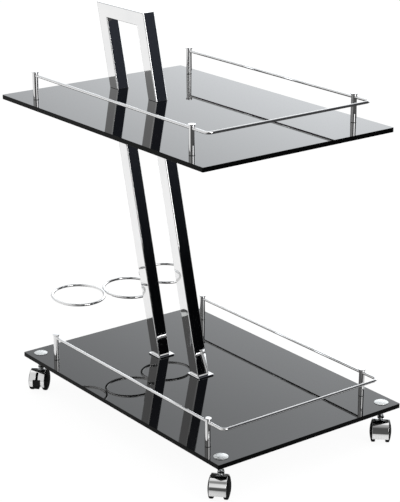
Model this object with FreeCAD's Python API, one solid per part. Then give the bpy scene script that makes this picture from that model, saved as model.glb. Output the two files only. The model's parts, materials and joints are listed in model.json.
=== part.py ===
import FreeCAD, Part
import math
import os

from FreeCAD import Vector

# Two-tier glass serving trolley on swivel castors, millimetres, +Z up.
# Origin on the floor under the middle of the lower shelf; the handle end is -X.

# Glass shelves
shelf_length = 600.0
shelf_width = 400.0
glass_thickness = 8.0
shelf_corner_radius = 2.0
glass_edge_chamfer = 0.8
lower_shelf_top = 67.0
shelf_spacing = 488.0
upper_shelf_setback = 41.0

# Leaning tube frame and handle
tube_side = 25.0
tube_wall = 1.5
tube_corner_radius = 2.0
lean_angle = 14.0
front_upright_x = -16.0
upright_spacing = 121.0
handle_rise = 153.0
base_plate_side = 35.0
base_plate_forward = 3.5
base_plate_thickness = 2.0
base_plate_radius = 2.0
base_plate_chamfer = 0.6
base_pad_inset = 1.0
pad_thickness = 0.6
plug_length = 24.0
plug_clearance = 0.1

# Frame bolts and studs
frame_bolt_radius = 4.0
frame_bolt_reach = 18.0
bolt_head_across = 13.0
bolt_head_height = 5.0
foot_washer_radius = 12.0
foot_washer_thickness = 1.5
thread_clearance = 0.05
glass_hole_clearance = 1.0

# Gallery rails
post_end_inset = 68.0
post_side_inset = 30.0
post_height = 50.0
post_radius = 4.85
post_base_radius = 5.25
post_cap_radius = 6.2
post_cap_height = 2.2
post_cap_chamfer = 0.5
rod_radius = 2.5
rod_below_cap = 7.0
rod_front_inset = 27.0
rod_bend_radius = 9.0
rod_clearance = 0.05
post_screw_radius = 2.5
post_screw_reach = 14.0
screw_head_radius = 4.5
screw_head_height = 3.0
screw_head_round = 1.2
screw_socket_across = 3.0
screw_socket_depth = 1.8
post_washer_radius = 4.9
post_washer_thickness = 0.6

# Bottle rings behind the rear upright
ring_radius = 49.0
ring_wire_radius = 2.5
ring_height = 100.0
ring_tilt = 2.5
ring_stand_off = 10.8
outer_ring_setback = 23.0
ring_weld_gap = 0.2
bracket_width = 20.0
bracket_height = 30.0
bracket_thickness = 3.0
bracket_corner_radius = 4.0
tongue_width = 12.0
tongue_thickness = 4.0
ring_screw_radius = 2.0
ring_screw_pitch = 19.0
ring_screw_length = 9.0
ring_screw_head_radius = 3.8
ring_screw_head_height = 2.4
ring_socket_across = 2.5
ring_socket_depth = 1.4

# Fixing discs and castor stems
castor_inset = 23.5
castor_side_inset = 23.0
disc_radius = 12.4
disc_rim = 0.5
disc_dome = 1.3
disc_bolt_radius = 2.5
disc_bolt_reach = 12.0
gasket_radius = 10.0
gasket_thickness = 0.3
stem_flange_radius = 9.5
stem_flange_thickness = 2.0
stem_neck_radius = 4.0
stem_collar_radius = 5.4
stem_collar_thickness = 2.4
stem_pin_radius = 4.0
stem_pin_length = 23.0

# Castors: twin wheels under a curved hood
castor_trail = 15.0
wheel_radius = 20.0
wheel_width = 10.2
wheel_gap = 17.6
wheel_dome = 3.0
tread_round = 1.8
wheel_rim = 3.6
wheel_web = 2.0
wheel_hub_radius = 5.6
wheel_bore_depth = 6.4
wheel_rib_count = 6
wheel_rib_thickness = 1.4
wheel_rib_set_in = 2.0
axle_radius = 3.0
axle_clearance = 0.05
axle_end_play = 0.4
axle_end_chamfer = 0.5
castor_body_width = 16.4
castor_body_lift = 14.0
castor_boss_radius = 5.8
castor_boss_top = 41.0
swivel_clearance = 0.05
swivel_end_play = 0.3
hood_gap = 1.0
hood_thickness = 1.2
hood_width = 28.5
hood_edge_round = 0.5
hood_fit = 0.05
hood_low_angle = -20.0
hood_high_angle = 163.0

# Brake pedal, turning on the axle through a slot in the hood
pedal_hub_radius = 7.0
pedal_arm_width = 3.6
pedal_arm_height = 4.0
pedal_arm_angle = 5.0
pedal_block_width = 13.0
pedal_block_thickness = 3.4
pedal_block_gap = 0.5
pedal_low_angle = -19.0
pedal_high_angle = 18.0
pedal_lip_angle = 7.0
pedal_lip_thickness = 2.0
pedal_travel_angle = 45.0
pedal_side_gap = 0.35

# Castor places: end sign, side sign, heading of the trailing side, braked
castor_places = {
    "front_left": (1, 1, -42.5, False),
    "front_right": (1, -1, -47.0, False),
    "rear_left": (-1, 1, -44.0, True),
    "rear_right": (-1, -1, -47.4, True),
}

# One overrun for every cut, and a tolerance for picking edges
overrun = 2.0
same_place = 1e-4
quarter_turn = 90.0
full_turn = 360.0
hex_sides = 6

# Worked out from the sizes above
up = Vector(0, 0, 1)
lean = math.tan(math.radians(lean_angle))
lean_cos = math.cos(math.radians(lean_angle))
upper_shelf_top = lower_shelf_top + shelf_spacing
lower_glass_under = lower_shelf_top - glass_thickness
upper_glass_under = upper_shelf_top - glass_thickness
rear_upright_x = front_upright_x - upright_spacing
section_length = tube_side / lean_cos
tube_bore = tube_side - 2 * tube_wall
bore_length = tube_bore / lean_cos
upright_low = lower_shelf_top + pad_thickness + base_plate_thickness
upright_high = upper_glass_under - pad_thickness
handle_low = upper_shelf_top + pad_thickness
handle_high = upper_shelf_top + handle_rise
glass_hole_radius = frame_bolt_radius + glass_hole_clearance
stud_height = upper_shelf_top - glass_thickness / 2
post_x = shelf_length / 2 - post_end_inset
post_y = shelf_width / 2 - post_side_inset
rod_height = post_height + post_washer_thickness - rod_below_cap
rod_front_x = shelf_length / 2 - rod_front_inset
castor_x = shelf_length / 2 - castor_inset
castor_y = shelf_width / 2 - castor_side_inset
stem_top = lower_glass_under - gasket_thickness
wheel_inner = wheel_gap / 2
wheel_outer = wheel_inner + wheel_width
wheel_shoulder = wheel_outer - wheel_dome
axle_half = wheel_inner + wheel_bore_depth - axle_end_play
hood_inner = wheel_radius + hood_gap
hood_outer = hood_inner + hood_thickness
pedal_inner = hood_outer + pedal_block_gap
pedal_outer = pedal_inner + pedal_block_thickness
ring_level = lower_shelf_top + ring_height


def leaned(x, z):
    return x - lean * (z - lower_shelf_top)


def rectangle(length, width, centre):
    corners = []
    for sx, sy in ((1, 1), (-1, 1), (-1, -1), (1, -1), (1, 1)):
        corners.append(centre + Vector(sx * length / 2, sy * width / 2, 0))
    return Part.Face(Part.makePolygon(corners))


def rounded_rectangle(length, width, radius, centre):
    inner_x = length / 2 - radius
    inner_y = width / 2 - radius
    arcs = []
    for turn, (sx, sy) in enumerate(((1, 1), (-1, 1), (-1, -1), (1, -1))):
        middle = centre + Vector(sx * inner_x, sy * inner_y, 0)
        start = turn * quarter_turn
        arcs.append(Part.makeCircle(radius, middle, up, start, start + quarter_turn))
    edges = []
    for turn, arc in enumerate(arcs):
        following = arcs[(turn + 1) % len(arcs)]
        edges.append(arc)
        edges.append(Part.makeLine(arc.Vertexes[-1].Point, following.Vertexes[0].Point))
    return Part.Face(Part.Wire(edges))


def round_bar(radius, low, high, x=0, y=0):
    return Part.makeCylinder(radius, high - low, Vector(x, y, low))


def hex_bar(across, low, high, x=0, y=0):
    corner = across / 2 / math.cos(math.pi / hex_sides)
    points = []
    for side in range(hex_sides + 1):
        angle = side * 2 * math.pi / hex_sides
        points.append(Vector(x + corner * math.cos(angle), y + corner * math.sin(angle), low))
    return Part.Face(Part.makePolygon(points)).extrude(up * (high - low))


def washer(outer, inner, low, high, x, y):
    hole = round_bar(inner, low - overrun, high + overrun, x, y)
    return round_bar(outer, low, high, x, y).cut(hole)


def revolved(points):
    profile = Part.Face(Part.makePolygon(points + points[:1]))
    return profile.revolve(Vector(0, 0, 0), up, full_turn)


def edges_at(shape, z):
    return [e for e in shape.Edges if all(abs(v.Z - z) < same_place for v in e.Vertexes)]


# Shelves

def glass_sheet(top):
    low = Vector(0, 0, top - glass_thickness)
    sheet = rounded_rectangle(shelf_length, shelf_width, shelf_corner_radius, low)
    sheet = sheet.extrude(up * glass_thickness)
    rims = edges_at(sheet, top) + edges_at(sheet, top - glass_thickness)
    return sheet.makeChamfer(glass_edge_chamfer, rims)


def post_places():
    return [(sx * post_x, sy * post_y) for sx in (1, -1) for sy in (1, -1)]


def drilled(sheet, top, places, radius):
    for x, y in places:
        low = top - glass_thickness - overrun
        sheet = sheet.cut(round_bar(radius, low, top + overrun, x, y))
    return sheet


def foot_places():
    height = upright_low + frame_bolt_reach / 2
    return [leaned(x, height) for x in (front_upright_x, rear_upright_x)]


def stud_places():
    return [leaned(x, stud_height) for x in (front_upright_x, rear_upright_x)]


def lower_shelf():
    sheet = glass_sheet(lower_shelf_top)
    screw_hole = post_screw_radius + glass_hole_clearance
    sheet = drilled(sheet, lower_shelf_top, post_places(), screw_hole)
    sheet = drilled(sheet, lower_shelf_top, [(x, 0) for x in foot_places()], glass_hole_radius)
    castors = [(sx * castor_x, sy * castor_y) for sx, sy, _, _ in castor_places.values()]
    return drilled(sheet, lower_shelf_top, castors, disc_bolt_radius + glass_hole_clearance)


def upper_shelf():
    sheet = glass_sheet(upper_shelf_top)
    screw_hole = post_screw_radius + glass_hole_clearance
    sheet = drilled(sheet, upper_shelf_top, post_places(), screw_hole)
    studs = [(x + upper_shelf_setback, 0) for x in stud_places()]
    sheet = drilled(sheet, upper_shelf_top, studs, glass_hole_radius)
    return sheet.translated(Vector(-upper_shelf_setback, 0, 0))


# Frame

def upright(x):
    rise = upright_high - upright_low
    along = Vector(-lean * rise, 0, rise)
    foot = Vector(leaned(x, upright_low), 0, upright_low)
    outer = rounded_rectangle(section_length, tube_side, tube_corner_radius, foot)
    bore = rectangle(bore_length, tube_bore, foot)
    return outer.extrude(along).cut(bore.extrude(along))


def bow_solid(half_leg, bar_low, bar_high, depth, leg_low):
    rear, front = rear_upright_x, front_upright_x
    outline = [
        (leaned(rear, leg_low) - half_leg, leg_low),
        (leaned(rear, bar_high) - half_leg, bar_high),
        (leaned(front, bar_high) + half_leg, bar_high),
        (leaned(front, leg_low) + half_leg, leg_low),
        (leaned(front, leg_low) - half_leg, leg_low),
        (leaned(front, bar_low) - half_leg, bar_low),
        (leaned(rear, bar_low) + half_leg, bar_low),
        (leaned(rear, leg_low) + half_leg, leg_low),
    ]
    points = [Vector(x, -depth / 2, z) for x, z in outline]
    face = Part.Face(Part.makePolygon(points + points[:1]))
    return face.extrude(Vector(0, depth, 0))


def handle():
    bar_low = handle_high - tube_side
    bow = bow_solid(section_length / 2, bar_low, handle_high, tube_side, handle_low)
    feet = edges_at(bow, handle_low)
    long_edges = []
    for edge in bow.Edges:
        ends = [v.Point for v in edge.Vertexes]
        across = abs(ends[0].y - ends[1].y) > same_place
        at_foot = any(edge.isSame(foot) for foot in feet)
        if not across and not at_foot:
            long_edges.append(edge)
    bow = bow.makeFillet(tube_corner_radius, long_edges)
    hollow = bow_solid(bore_length / 2, bar_low + tube_wall, handle_high - tube_wall,
                       tube_bore, handle_low)
    return bow.cut(hollow)


def base_plate_x(x):
    return leaned(x, upright_low) + base_plate_forward


def base_plate(x):
    low = lower_shelf_top + pad_thickness
    centre = Vector(base_plate_x(x), 0, low)
    plate = rounded_rectangle(base_plate_side, base_plate_side, base_plate_radius, centre)
    plate = plate.extrude(up * base_plate_thickness)
    return plate.makeChamfer(base_plate_chamfer, edges_at(plate, upright_low))


def plug(x, low, high, bolt_x, bolt_low, bolt_high):
    along = Vector(-lean * (high - low), 0, high - low)
    foot = Vector(leaned(x, low), 0, low)
    block = rectangle(bore_length - 2 * plug_clearance, tube_bore - 2 * plug_clearance, foot)
    thread = round_bar(frame_bolt_radius + thread_clearance, bolt_low, bolt_high, bolt_x)
    return block.extrude(along).cut(thread)


def upright_plugs():
    plugs = []
    for x, bolt_x in zip((front_upright_x, rear_upright_x), foot_places()):
        tip = upright_low + frame_bolt_reach + thread_clearance
        plugs.append(plug(x, upright_low, upright_low + plug_length,
                          bolt_x, upright_low - overrun, tip))
    for x, bolt_x in zip((front_upright_x, rear_upright_x), stud_places()):
        tip = upright_high - frame_bolt_reach - thread_clearance
        plugs.append(plug(x, upright_high - plug_length, upright_high,
                          bolt_x, tip, upright_high + overrun))
    return plugs


def handle_plugs():
    plugs = []
    for x, bolt_x in zip((front_upright_x, rear_upright_x), stud_places()):
        tip = handle_low + frame_bolt_reach + thread_clearance
        plugs.append(plug(x, handle_low, handle_low + plug_length,
                          bolt_x, handle_low - overrun, tip))
    return plugs


def base_pads():
    pads = []
    for x, bolt_x in zip((front_upright_x, rear_upright_x), foot_places()):
        centre = Vector(base_plate_x(x), 0, lower_shelf_top)
        side = base_plate_side - 2 * base_pad_inset
        pad = rounded_rectangle(side, side, base_plate_radius, centre)
        hole = round_bar(glass_hole_radius, lower_shelf_top - overrun,
                         upright_low + overrun, bolt_x)
        pads.append(pad.extrude(up * pad_thickness).cut(hole))
        pads.append(washer(foot_washer_radius, glass_hole_radius,
                           lower_glass_under - pad_thickness, lower_glass_under, bolt_x, 0))
    return pads


def shelf_pads():
    pads = []
    for low in (upright_high, upper_shelf_top):
        for x, bolt_x in zip((front_upright_x, rear_upright_x), stud_places()):
            seat = low if low == upright_high else handle_low
            centre = Vector(leaned(x, seat), 0, low)
            pad = rounded_rectangle(section_length, tube_side, tube_corner_radius, centre)
            hole = round_bar(glass_hole_radius, low - overrun, low + pad_thickness + overrun, bolt_x)
            pads.append(pad.extrude(up * pad_thickness).cut(hole))
    return pads


def foot_bolt(x):
    head_high = lower_glass_under - pad_thickness - foot_washer_thickness
    head = hex_bar(bolt_head_across, head_high - bolt_head_height, head_high, x)
    shank = round_bar(frame_bolt_radius, head_high, upright_low + frame_bolt_reach, x)
    return head.fuse(shank).removeSplitter()


def foot_washer(x):
    high = lower_glass_under - pad_thickness
    return washer(foot_washer_radius, frame_bolt_radius + thread_clearance,
                  high - foot_washer_thickness, high, x, 0)


def handle_stud(x):
    return round_bar(frame_bolt_radius, upright_high - frame_bolt_reach,
                     handle_low + frame_bolt_reach, x)


# Gallery rails

def rail_rod(shelf_top, shelf_x):
    level = shelf_top + rod_height
    rear = shelf_x - post_x
    front = shelf_x + rod_front_x
    bend = rod_bend_radius
    diagonal = bend * math.sqrt(0.5)
    starts = []
    for side in (-1, 1):
        middle = Vector(front - bend, side * (post_y - bend), level)
        starts.append((
            Vector(rear, side * post_y, level),
            Vector(front - bend, side * post_y, level),
            middle + Vector(diagonal, side * diagonal, 0),
            Vector(front, side * (post_y - bend), level),
        ))
    right, left = starts
    path = Part.Wire([
        Part.makeLine(right[0], right[1]),
        Part.Arc(right[1], right[2], right[3]).toShape(),
        Part.makeLine(right[3], left[3]),
        Part.Arc(left[3], left[2], left[1]).toShape(),
        Part.makeLine(left[1], left[0]),
    ])
    section = Part.Wire(Part.makeCircle(rod_radius, right[0], Vector(1, 0, 0)))
    return path.makePipeShell([section], True, False)


def rail_post(shelf_top, shelf_x, end, side):
    cap_low = post_height - post_cap_height
    body = revolved([
        Vector(0, 0, 0),
        Vector(post_base_radius, 0, 0),
        Vector(post_radius, 0, cap_low),
        Vector(post_cap_radius, 0, cap_low),
        Vector(post_cap_radius, 0, post_height - post_cap_chamfer),
        Vector(post_cap_radius - post_cap_chamfer, 0, post_height),
        Vector(0, 0, post_height),
    ])
    reach = post_cap_radius + overrun
    level = post_height - rod_below_cap
    start = -reach if end > 0 else 0
    bore = Part.makeCylinder(rod_radius + rod_clearance, reach - start,
                             Vector(start, 0, level), Vector(1, 0, 0))
    thread = round_bar(post_screw_radius + thread_clearance, -overrun,
                       post_screw_reach + thread_clearance)
    foot = shelf_top + post_washer_thickness
    place = Vector(shelf_x + end * post_x, side * post_y, foot)
    return body.cut(bore).cut(thread).translated(place)


def post_screw(shelf_top, x, y):
    high = shelf_top - glass_thickness - post_washer_thickness
    low = high - screw_head_height
    head = round_bar(screw_head_radius, low, high, x, y)
    head = head.makeFillet(screw_head_round, edges_at(head, low))
    socket = hex_bar(screw_socket_across, low - overrun, low + screw_socket_depth, x, y)
    tip = shelf_top + post_washer_thickness + post_screw_reach
    return head.fuse(round_bar(post_screw_radius, high, tip, x, y)).cut(socket)


def post_washers(shelf_top, x, y):
    under = shelf_top - glass_thickness
    hole = post_screw_radius + thread_clearance
    above = washer(post_washer_radius, hole, shelf_top, shelf_top + post_washer_thickness, x, y)
    below = washer(post_washer_radius, hole, under - post_washer_thickness, under, x, y)
    return [above, below]


# Bottle rings

def rear_face_x(z):
    return leaned(rear_upright_x, z) - section_length / 2


def tilted(shape):
    shape.rotate(Vector(rear_face_x(ring_level), 0, ring_level), Vector(0, 1, 0), ring_tilt)
    return shape


def middle_ring_x():
    return rear_face_x(ring_level) - ring_stand_off - ring_radius - ring_wire_radius


def bottle_ring(side):
    pitch = 2 * (ring_radius + ring_wire_radius) + ring_weld_gap
    aside = math.sqrt(pitch ** 2 - outer_ring_setback ** 2)
    centre = Vector(middle_ring_x() - abs(side) * outer_ring_setback, side * aside, ring_level)
    return tilted(Part.makeTorus(ring_radius, ring_wire_radius, centre))


def on_rear_face(shape):
    shape.rotate(Vector(0, 0, 0), Vector(0, 1, 0), -lean_angle)
    shape.translate(Vector(rear_face_x(ring_level), 0, ring_level))
    return shape


def face_bar(radius, start, length, level):
    bar = Part.makeCylinder(radius, length, Vector(start, 0, level), Vector(1, 0, 0))
    return on_rear_face(bar)


def bracket():
    plate = rounded_rectangle(bracket_height, bracket_width, bracket_corner_radius, Vector(0, 0, 0))
    plate = plate.extrude(up * bracket_thickness)
    plate.rotate(Vector(0, 0, 0), Vector(0, 1, 0), -quarter_turn)
    plate = on_rear_face(plate)
    tip = middle_ring_x() + ring_radius + ring_wire_radius / 2
    root = rear_face_x(ring_level) - bracket_thickness / 2
    tongue = Part.makeBox(root - tip, tongue_width, tongue_thickness,
                          Vector(tip, -tongue_width / 2, ring_level - tongue_thickness / 2))
    seat = Part.makeTorus(ring_radius, ring_wire_radius + rod_clearance,
                          Vector(middle_ring_x(), 0, ring_level))
    piece = plate.fuse(tilted(tongue)).cut(tilted(seat))
    for way in (-1, 1):
        hole = face_bar(ring_screw_radius + thread_clearance, -bracket_thickness - overrun,
                        bracket_thickness + 2 * overrun, way * ring_screw_pitch / 2)
        piece = piece.cut(hole)
    return piece


def rear_upright():
    tube = upright(rear_upright_x)
    for way in (-1, 1):
        hole = face_bar(ring_screw_radius + thread_clearance, -overrun,
                        tube_wall + 2 * overrun, way * ring_screw_pitch / 2)
        tube = tube.cut(hole)
    return tube


def ring_screw(way):
    level = way * ring_screw_pitch / 2
    outside = -bracket_thickness - ring_screw_head_height
    head = face_bar(ring_screw_head_radius, outside, ring_screw_head_height, level)
    shank = face_bar(ring_screw_radius, -bracket_thickness, ring_screw_length, level)
    socket = hex_bar(ring_socket_across, outside - overrun, outside + ring_socket_depth)
    socket.rotate(Vector(0, 0, 0), Vector(0, 1, 0), quarter_turn)
    socket.translate(Vector(0, 0, level))
    return head.fuse(shank).cut(on_rear_face(socket))


# Fixing discs and stems

def fixing_disc(x, y):
    low = lower_shelf_top + gasket_thickness
    curve = (disc_radius ** 2 + disc_dome ** 2) / (2 * disc_dome)
    disc = round_bar(disc_radius, low, low + disc_rim + disc_dome, x, y)
    disc = disc.common(Part.makeSphere(curve, Vector(x, y, low + disc_rim + disc_dome - curve)))
    return disc.fuse(round_bar(disc_bolt_radius, stem_top - disc_bolt_reach, low, x, y))


def castor_gasket_pair(x, y):
    hole = disc_bolt_radius + thread_clearance
    above = washer(gasket_radius, hole, lower_shelf_top, lower_shelf_top + gasket_thickness, x, y)
    below = washer(gasket_radius, hole, stem_top, lower_glass_under, x, y)
    return [above, below]


def castor_stem(x, y):
    collar_low = castor_boss_top + swivel_end_play
    collar_high = collar_low + stem_collar_thickness
    flange_low = stem_top - stem_flange_thickness
    stem = round_bar(stem_pin_radius, castor_boss_top - stem_pin_length, collar_low, x, y)
    stem = stem.fuse(round_bar(stem_collar_radius, collar_low, collar_high, x, y))
    stem = stem.fuse(round_bar(stem_neck_radius, collar_high, flange_low, x, y))
    stem = stem.fuse(round_bar(stem_flange_radius, flange_low, stem_top, x, y))
    thread = round_bar(disc_bolt_radius + thread_clearance,
                       stem_top - disc_bolt_reach - thread_clearance, stem_top + overrun, x, y)
    return stem.cut(thread)


# Castors, modelled with the swivel axis on Z and the wheels trailing towards +X

def about_axle(radius, width, start=0, sweep=full_turn):
    slice_ = Part.makeCylinder(radius, width, Vector(0, 0, -width / 2), up, sweep)
    slice_.rotate(Vector(0, 0, 0), up, start)
    slice_.rotate(Vector(0, 0, 0), Vector(1, 0, 0), quarter_turn)
    slice_.translate(Vector(castor_trail, 0, wheel_radius))
    return slice_


def curved_slab(inner, outer, width, low_angle, high_angle):
    whole = about_axle(outer, width, low_angle, high_angle - low_angle)
    return whole.cut(about_axle(inner, width + 2 * overrun))


def pedal_slot(radius):
    margin = math.degrees(math.asin((pedal_arm_height / 2 + pedal_side_gap) / radius))
    width = pedal_arm_width + 2 * pedal_side_gap
    sweep = pedal_travel_angle + 2 * margin
    return about_axle(pedal_outer + overrun, width, pedal_arm_angle - margin, sweep)


def castor_body(braked):
    disc = about_axle(hood_inner - hood_fit, castor_body_width)
    reach = 2 * hood_outer
    trim = Part.makeBox(2 * reach, reach, castor_body_lift + reach,
                        Vector(castor_trail - reach, -reach / 2, -reach))
    boss = round_bar(castor_boss_radius, castor_body_lift, castor_boss_top)
    body = disc.cut(trim).fuse(boss)
    socket_low = castor_boss_top - stem_pin_length - swivel_end_play
    body = body.cut(round_bar(stem_pin_radius + swivel_clearance, socket_low,
                              castor_boss_top + overrun))
    body = body.cut(about_axle(axle_radius + axle_clearance, castor_body_width + 2 * overrun))
    if braked:
        hub_room = pedal_hub_radius + pedal_side_gap
        body = body.cut(about_axle(hub_room, pedal_arm_width + 2 * pedal_side_gap))
        body = body.cut(pedal_slot(hub_room))
    return body


def castor_hood(braked):
    hood = curved_slab(hood_inner, hood_outer, hood_width, hood_low_angle, hood_high_angle)
    rims = []
    for edge in hood.Edges:
        curve = edge.Curve
        if isinstance(curve, Part.Circle) and abs(curve.Radius - hood_outer) < same_place:
            rims.append(edge)
    hood = hood.makeFillet(hood_edge_round, rims)
    boss_room = round_bar(castor_boss_radius + hood_fit, castor_body_lift,
                          castor_boss_top + overrun)
    hood = hood.cut(boss_room)
    if braked:
        hood = hood.cut(pedal_slot(hood_inner))
    return hood


def castor_axle():
    pin = about_axle(axle_radius, 2 * axle_half)
    ends = [e for e in pin.Edges if isinstance(e.Curve, Part.Circle)]
    return pin.makeChamfer(axle_end_chamfer, ends)


def castor_wheel(side):
    bore = axle_radius + axle_clearance
    shoulder = wheel_radius - tread_round
    web = wheel_shoulder - wheel_web
    rim = wheel_radius - wheel_rim
    bore_end = wheel_inner + wheel_bore_depth
    bulge = tread_round * (1 - math.sqrt(0.5))
    dome_radius = (shoulder ** 2 + wheel_dome ** 2) / (2 * wheel_dome)
    half_angle = math.asin(shoulder / dome_radius) / 2
    crest = wheel_outer - dome_radius * (1 - math.cos(half_angle))

    def at(radius, along):
        return Vector(radius, 0, along)

    tread = wheel_radius - bulge
    profile = Part.Wire([
        Part.makePolygon([at(0, wheel_outer), at(0, bore_end), at(bore, bore_end),
                          at(bore, wheel_inner), at(wheel_hub_radius, wheel_inner),
                          at(wheel_hub_radius, web), at(rim, web), at(rim, wheel_inner),
                          at(shoulder, wheel_inner)]),
        Part.Arc(at(shoulder, wheel_inner), at(tread, wheel_inner + bulge),
                 at(wheel_radius, wheel_inner + tread_round)).toShape(),
        Part.makeLine(at(wheel_radius, wheel_inner + tread_round),
                      at(wheel_radius, wheel_shoulder - tread_round)),
        Part.Arc(at(wheel_radius, wheel_shoulder - tread_round),
                 at(tread, wheel_shoulder - bulge), at(shoulder, wheel_shoulder)).toShape(),
        Part.Arc(at(shoulder, wheel_shoulder), at(dome_radius * math.sin(half_angle), crest),
                 at(0, wheel_outer)).toShape(),
    ])
    wheel = Part.Face(profile).revolve(Vector(0, 0, 0), up, full_turn)
    rib_root = (wheel_hub_radius + bore) / 2
    rib_low = wheel_inner + wheel_rib_set_in
    for turn in range(wheel_rib_count):
        rib = Part.makeBox(rim + wheel_rim / 2 - rib_root, wheel_rib_thickness,
                           web + wheel_web / 2 - rib_low,
                           Vector(rib_root, -wheel_rib_thickness / 2, rib_low))
        rib.rotate(Vector(0, 0, 0), up, turn * full_turn / wheel_rib_count)
        wheel = wheel.fuse(rib)
    wheel.rotate(Vector(0, 0, 0), Vector(1, 0, 0), -side * quarter_turn)
    wheel.translate(Vector(castor_trail, 0, wheel_radius))
    return wheel


def brake_pedal():
    hub = about_axle(pedal_hub_radius, pedal_arm_width)
    arm = Part.makeBox(pedal_inner + pedal_block_thickness / 2, pedal_arm_width, pedal_arm_height,
                       Vector(0, -pedal_arm_width / 2, -pedal_arm_height / 2))
    arm.rotate(Vector(0, 0, 0), Vector(0, 1, 0), -pedal_arm_angle)
    arm.translate(Vector(castor_trail, 0, wheel_radius))
    block = curved_slab(pedal_inner, pedal_outer, pedal_block_width,
                        pedal_low_angle, pedal_high_angle)
    lip = curved_slab(pedal_inner, pedal_outer + pedal_lip_thickness, pedal_block_width,
                      pedal_low_angle, pedal_low_angle + pedal_lip_angle)
    pedal = hub.fuse(arm).fuse(block).fuse(lip)
    pedal = pedal.cut(about_axle(axle_radius + axle_clearance, pedal_arm_width + 2 * overrun))
    return pedal.removeSplitter()


def set_castor(shape, place):
    end, side, heading, _ = place
    shape = shape.copy()
    shape.rotate(Vector(0, 0, 0), up, heading)
    shape.translate(Vector(end * castor_x, side * castor_y, 0))
    return shape


def castor_nodes():
    nodes = {}
    for name, place in castor_places.items():
        braked = place[3]
        nodes[name + "_castor_body"] = set_castor(castor_body(braked), place)
        nodes[name + "_castor_hood"] = set_castor(castor_hood(braked), place)
        nodes[name + "_castor_axle"] = set_castor(castor_axle(), place)
        nodes[name + "_wheel_a"] = set_castor(castor_wheel(1), place)
        nodes[name + "_wheel_b"] = set_castor(castor_wheel(-1), place)
        if braked:
            nodes[name + "_brake_pedal"] = set_castor(brake_pedal(), place)
    return nodes


def rail_nodes(level, shelf_top, shelf_x):
    nodes = {level + "_rail_rod": rail_rod(shelf_top, shelf_x)}
    for end_name, end in (("front", 1), ("rear", -1)):
        for side_name, side in (("left", 1), ("right", -1)):
            name = "_".join((level, end_name, side_name, "post"))
            nodes[name] = rail_post(shelf_top, shelf_x, end, side)
    screws = []
    washers = []
    for x, y in post_places():
        screws.append(post_screw(shelf_top, shelf_x + x, y))
        washers.extend(post_washers(shelf_top, shelf_x + x, y))
    nodes[level + "_post_screws"] = Part.makeCompound(screws)
    nodes[level + "_post_washers"] = Part.makeCompound(washers)
    return nodes


def frame_nodes():
    return {
        "lower_glass_shelf": lower_shelf(),
        "upper_glass_shelf": upper_shelf(),
        "front_upright": upright(front_upright_x),
        "rear_upright": rear_upright(),
        "handle_bow": handle(),
        "upright_end_plugs": Part.makeCompound(upright_plugs()),
        "handle_end_plugs": Part.makeCompound(handle_plugs()),
        "base_plate_pads": Part.makeCompound(base_pads()),
        "upper_glass_pads": Part.makeCompound(shelf_pads()),
        "foot_bolts": Part.makeCompound([foot_bolt(x) for x in foot_places()]),
        "foot_washers": Part.makeCompound([foot_washer(x) for x in foot_places()]),
        "handle_studs": Part.makeCompound([handle_stud(x) for x in stud_places()]),
    }


def base_plate_nodes():
    nodes = {}
    uprights = (("front", front_upright_x), ("rear", rear_upright_x))
    for (name, x), bolt_x in zip(uprights, foot_places()):
        hole = round_bar(frame_bolt_radius + thread_clearance, lower_shelf_top,
                         upright_low + overrun, bolt_x)
        nodes[name + "_base_plate"] = base_plate(x).cut(hole)
    return nodes


def ring_nodes():
    return {
        "bottle_ring_left": bottle_ring(1),
        "bottle_ring_middle": bottle_ring(0),
        "bottle_ring_right": bottle_ring(-1),
        "ring_bracket": bracket(),
        "ring_screws": Part.makeCompound([ring_screw(-1), ring_screw(1)]),
    }


def castor_fixings():
    discs = []
    gaskets = []
    stems = []
    for end, side, _, _ in castor_places.values():
        x, y = end * castor_x, side * castor_y
        discs.append(fixing_disc(x, y))
        gaskets.extend(castor_gasket_pair(x, y))
        stems.append(castor_stem(x, y))
    return {
        "fixing_discs": Part.makeCompound(discs),
        "castor_gaskets": Part.makeCompound(gaskets),
        "castor_stems": Part.makeCompound(stems),
    }


def main():
    os.makedirs("parts", exist_ok=True)
    nodes = frame_nodes()
    nodes.update(base_plate_nodes())
    nodes.update(rail_nodes("lower", lower_shelf_top, 0))
    nodes.update(rail_nodes("upper", upper_shelf_top, -upper_shelf_setback))
    nodes.update(ring_nodes())
    nodes.update(castor_fixings())
    nodes.update(castor_nodes())
    for name, shape in nodes.items():
        shape.exportStep("parts/" + name + ".step")
    print(len(nodes), "nodes written")


main()
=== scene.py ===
import json
import math

import bmesh
import bpy
from mathutils import Matrix, Vector


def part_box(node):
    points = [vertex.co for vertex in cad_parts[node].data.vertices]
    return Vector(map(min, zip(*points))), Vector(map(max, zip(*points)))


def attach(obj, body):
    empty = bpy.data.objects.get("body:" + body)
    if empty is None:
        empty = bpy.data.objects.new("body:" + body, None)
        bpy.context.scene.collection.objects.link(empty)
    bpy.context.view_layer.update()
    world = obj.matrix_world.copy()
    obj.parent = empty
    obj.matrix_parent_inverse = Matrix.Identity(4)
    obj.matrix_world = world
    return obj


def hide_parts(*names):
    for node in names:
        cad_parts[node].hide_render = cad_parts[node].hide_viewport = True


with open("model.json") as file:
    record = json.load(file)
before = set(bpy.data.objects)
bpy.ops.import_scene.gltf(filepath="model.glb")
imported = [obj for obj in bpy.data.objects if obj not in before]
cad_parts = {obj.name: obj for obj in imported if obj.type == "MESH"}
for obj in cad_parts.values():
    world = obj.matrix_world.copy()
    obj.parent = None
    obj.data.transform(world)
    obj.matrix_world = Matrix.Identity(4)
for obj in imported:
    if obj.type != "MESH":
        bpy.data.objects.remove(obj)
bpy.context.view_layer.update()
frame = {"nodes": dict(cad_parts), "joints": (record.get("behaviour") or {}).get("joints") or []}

scene = bpy.context.scene
joints = {joint["name"]: joint for joint in frame["joints"]}
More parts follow.
